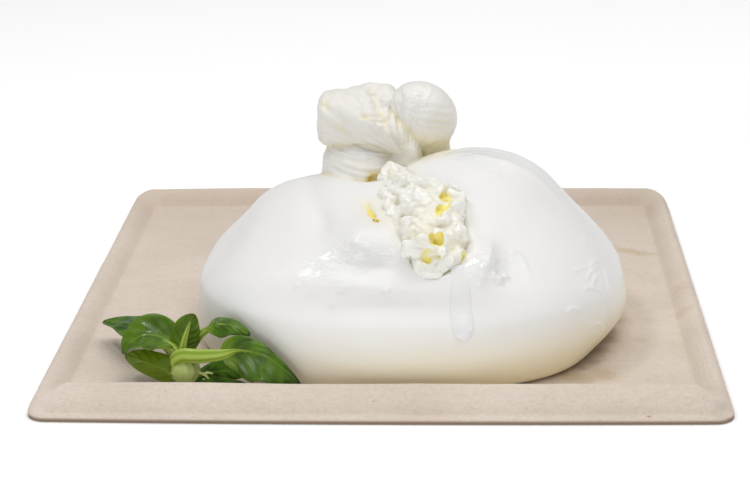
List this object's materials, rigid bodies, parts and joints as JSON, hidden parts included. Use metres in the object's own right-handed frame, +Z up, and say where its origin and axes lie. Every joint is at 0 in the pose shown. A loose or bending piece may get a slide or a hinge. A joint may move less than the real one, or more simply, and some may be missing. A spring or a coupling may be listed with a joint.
{
  "type": "burrata on a tray",
  "caption": "Burrata pouch with a gathered knot, torn open in front so its creamy filling bulges out, on a square moulded-pulp tray with a sprig of salad leaves.",
  "frame": {"origin": "centre of the tray's underside, on the surface that it stands on", "axes": "+Z up, -Y towards the torn front of the cheese, +X to the right seen from the front"},
  "size_m": [0.2, 0.202, 0.0759],
  "materials": {
    "moulded_pulp": "matt pressed plant fibre with fine flecks and a few damp stains",
    "mozzarella": "wet milky skin, smooth and glossy with soft light passing through",
    "stracciatella": "moist crumbly cream curd with yellow cream in its pockets",
    "salad_leaf": "satin green leaf with pale veins and stalks"
  },
  "bodies": {
    "root": {"tray": "moulded_pulp", "skin": "mozzarella", "filling": "stracciatella", "sprig": "salad_leaf"}
  },
  "joints": []
}
